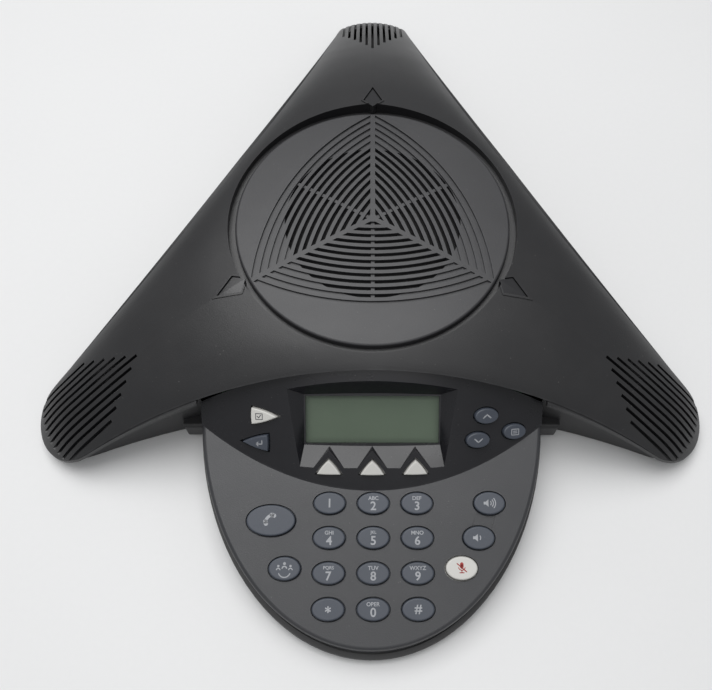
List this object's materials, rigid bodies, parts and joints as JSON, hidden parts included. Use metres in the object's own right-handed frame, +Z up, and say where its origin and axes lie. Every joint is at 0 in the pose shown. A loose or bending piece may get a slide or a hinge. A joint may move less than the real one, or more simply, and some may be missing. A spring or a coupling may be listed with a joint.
{
  "type": "conference speakerphone",
  "caption": "Three-armed conference speakerphone with a domed round speaker grille, slotted arm tips and a sloping keypad console with a display.",
  "frame": {"origin": "on the table, under the middle of the phone's overall length and width", "axes": "+X to the user's right, +Y away from the user along the back arm, +Z up"},
  "size_m": [0.3138, 0.363, 0.0643],
  "materials": {
    "casing_black": "satin moulded charcoal plastic with a fine spark-eroded grain",
    "base_black": "matt moulded charcoal plastic",
    "console_grey": "satin charcoal-grey moulded plastic",
    "bezel_black": "semi-gloss near-black moulded plastic",
    "grille_grey": "satin charcoal moulded plastic",
    "grille_cloth": "black acoustic cloth",
    "display_window": "clear window with a slight green cast",
    "lcd_green": "grey-green reflective display, switched off",
    "lens_smoke": "smoked light guide",
    "key_slate": "slate-grey soft-touch rubber key",
    "key_white": "off-white moulded key",
    "board_green": "green solder mask",
    "chip_black": "black moulded component",
    "mat_grey": "translucent grey silicone",
    "ribbon_white": "laminated flat cable",
    "steel": "zinc-plated steel",
    "magnet_dark": "ferrite with a black steel yoke",
    "cone_paper": "black coated paper",
    "rubber_black": "black rubber",
    "brass_capsule": "aluminium capsule",
    "label_silver": "plain silver plate without print"
  },
  "bodies": {
    "housing": {"top_shell": "casing_black", "base_shell": "base_black", "console_cover": "console_grey", "display_bezel": "bezel_black", "speaker_grille": "grille_grey", "grille_cloth": "grille_cloth", "display_lens": "display_window", "lcd_panel": "lcd_green", "display_board": "board_green", "keypad_board": "board_green", "keypad_membrane": "mat_grey", "ribbon_cable": "ribbon_white", "main_board": "board_green", "line_jack": "chip_black", "speaker_basket": "steel", "speaker_magnet": "magnet_dark", "speaker_surround": "rubber_black", "speaker_spider": "cone_paper", "speaker_screws": "steel", "shell_screws": "steel", "label_plate": "label_silver", "status_lens_1": "lens_smoke", "microphone_boot_1": "rubber_black", "microphone_capsule_1": "brass_capsule", "status_lens_2": "lens_smoke", "microphone_boot_2": "rubber_black", "microphone_capsule_2": "brass_capsule", "status_lens_3": "lens_smoke", "microphone_boot_3": "rubber_black", "microphone_capsule_3": "brass_capsule", "foot_1": "rubber_black", "foot_2": "rubber_black", "foot_3": "rubber_black", "foot_4": "rubber_black"},
    "key_1": {"key_1": "key_slate"},
    "key_2": {"key_2": "key_slate"},
    "key_3": {"key_3": "key_slate"},
    "key_4": {"key_4": "key_slate"},
    "key_5": {"key_5": "key_slate"},
    "key_6": {"key_6": "key_slate"},
    "key_7": {"key_7": "key_slate"},
    "key_8": {"key_8": "key_slate"},
    "key_9": {"key_9": "key_slate"},
    "key_star": {"key_star": "key_slate"},
    "key_0": {"key_0": "key_slate"},
    "key_pound": {"key_pound": "key_slate"},
    "key_call": {"key_call": "key_slate"},
    "key_conference": {"key_conference": "key_slate"},
    "key_volume_up": {"key_volume_up": "key_slate"},
    "key_volume_down": {"key_volume_down": "key_slate"},
    "key_mute": {"key_mute": "key_white"},
    "soft_key_left": {"soft_key_left": "key_white"},
    "soft_key_middle": {"soft_key_middle": "key_white"},
    "soft_key_right": {"soft_key_right": "key_white"},
    "key_select": {"key_select": "key_white"},
    "key_back": {"key_back": "key_slate"},
    "key_scroll_up": {"key_scroll_up": "key_slate"},
    "key_scroll_down": {"key_scroll_down": "key_slate"},
    "key_menu": {"key_menu": "key_slate"},
    "cone": {"speaker_cone": "cone_paper"}
  },
  "joints": [
    {"name": "press_key_1", "type": "slide", "parent": "housing", "child": "key_1", "axis": [0, 0.1564, -0.9877], "range_m": [0, 0.001], "stiffness_N_per_m": 300},
    {"name": "press_key_2", "type": "slide", "parent": "housing", "child": "key_2", "axis": [0, 0.1564, -0.9877], "range_m": [0, 0.001], "stiffness_N_per_m": 300},
    {"name": "press_key_3", "type": "slide", "parent": "housing", "child": "key_3", "axis": [0, 0.1564, -0.9877], "range_m": [0, 0.001], "stiffness_N_per_m": 300},
    {"name": "press_key_4", "type": "slide", "parent": "housing", "child": "key_4", "axis": [0, 0.1564, -0.9877], "range_m": [0, 0.001], "stiffness_N_per_m": 300},
    {"name": "press_key_5", "type": "slide", "parent": "housing", "child": "key_5", "axis": [0, 0.1564, -0.9877], "range_m": [0, 0.001], "stiffness_N_per_m": 300},
    {"name": "press_key_6", "type": "slide", "parent": "housing", "child": "key_6", "axis": [0, 0.1564, -0.9877], "range_m": [0, 0.001], "stiffness_N_per_m": 300},
    {"name": "press_key_7", "type": "slide", "parent": "housing", "child": "key_7", "axis": [0, 0.1564, -0.9877], "range_m": [0, 0.001], "stiffness_N_per_m": 300},
    {"name": "press_key_8", "type": "slide", "parent": "housing", "child": "key_8", "axis": [0, 0.1564, -0.9877], "range_m": [0, 0.001], "stiffness_N_per_m": 300},
    {"name": "press_key_9", "type": "slide", "parent": "housing", "child": "key_9", "axis": [0, 0.1564, -0.9877], "range_m": [0, 0.001], "stiffness_N_per_m": 300},
    {"name": "press_key_star", "type": "slide", "parent": "housing", "child": "key_star", "axis": [0, 0.1564, -0.9877], "range_m": [0, 0.001], "stiffness_N_per_m": 300},
    {"name": "press_key_0", "type": "slide", "parent": "housing", "child": "key_0", "axis": [0, 0.1564, -0.9877], "range_m": [0, 0.001], "stiffness_N_per_m": 300},
    {"name": "press_key_pound", "type": "slide", "parent": "housing", "child": "key_pound", "axis": [0, 0.1564, -0.9877], "range_m": [0, 0.001], "stiffness_N_per_m": 300},
    {"name": "press_key_call", "type": "slide", "parent": "housing", "child": "key_call", "axis": [0, 0.1564, -0.9877], "range_m": [0, 0.001], "stiffness_N_per_m": 300},
    {"name": "press_key_conference", "type": "slide", "parent": "housing", "child": "key_conference", "axis": [0, 0.1564, -0.9877], "range_m": [0, 0.001], "stiffness_N_per_m": 300},
    {"name": "press_key_volume_up", "type": "slide", "parent": "housing", "child": "key_volume_up", "axis": [0, 0.1564, -0.9877], "range_m": [0, 0.001], "stiffness_N_per_m": 300},
    {"name": "press_key_volume_down", "type": "slide", "parent": "housing", "child": "key_volume_down", "axis": [0, 0.1564, -0.9877], "range_m": [0, 0.001], "stiffness_N_per_m": 300},
    {"name": "press_key_mute", "type": "slide", "parent": "housing", "child": "key_mute", "axis": [0, 0.1564, -0.9877], "range_m": [0, 0.001], "stiffness_N_per_m": 300},
    {"name": "press_soft_key_left", "type": "slide", "parent": "housing", "child": "soft_key_left", "axis": [0.0805, 0.566, -0.8205], "range_m": [0, 0.001], "stiffness_N_per_m": 300},
    {"name": "press_soft_key_middle", "type": "slide", "parent": "housing", "child": "soft_key_middle", "axis": [0, 0.5678, -0.8231], "range_m": [0, 0.001], "stiffness_N_per_m": 300},
    {"name": "press_soft_key_right", "type": "slide", "parent": "housing", "child": "soft_key_right", "axis": [-0.0805, 0.566, -0.8205], "range_m": [0, 0.001], "stiffness_N_per_m": 300},
    {"name": "press_key_select", "type": "slide", "parent": "housing", "child": "key_select", "axis": [0.1966, 0.5568, -0.8071], "range_m": [0, 0.001], "stiffness_N_per_m": 300},
    {"name": "press_key_back", "type": "slide", "parent": "housing", "child": "key_back", "axis": [0.2203, 0.5539, -0.8029], "range_m": [0, 0.001], "stiffness_N_per_m": 300},
    {"name": "press_key_scroll_up", "type": "slide", "parent": "housing", "child": "key_scroll_up", "axis": [-0.2119, 0.555, -0.8045], "range_m": [0, 0.001], "stiffness_N_per_m": 300},
    {"name": "press_key_scroll_down", "type": "slide", "parent": "housing", "child": "key_scroll_down", "axis": [-0.1966, 0.5568, -0.8071], "range_m": [0, 0.001], "stiffness_N_per_m": 300},
    {"name": "press_key_menu", "type": "slide", "parent": "housing", "child": "key_menu", "axis": [-0.2669, 0.5472, -0.7933], "range_m": [0, 0.001], "stiffness_N_per_m": 300},
    {"name": "cone_stroke", "type": "slide", "parent": "housing", "child": "cone", "axis": [0, 0, 1], "range_m": [-0.001, 0.001], "stiffness_N_per_m": 2000, "deforming": ["speaker_surround", "speaker_spider"]}
  ]
}
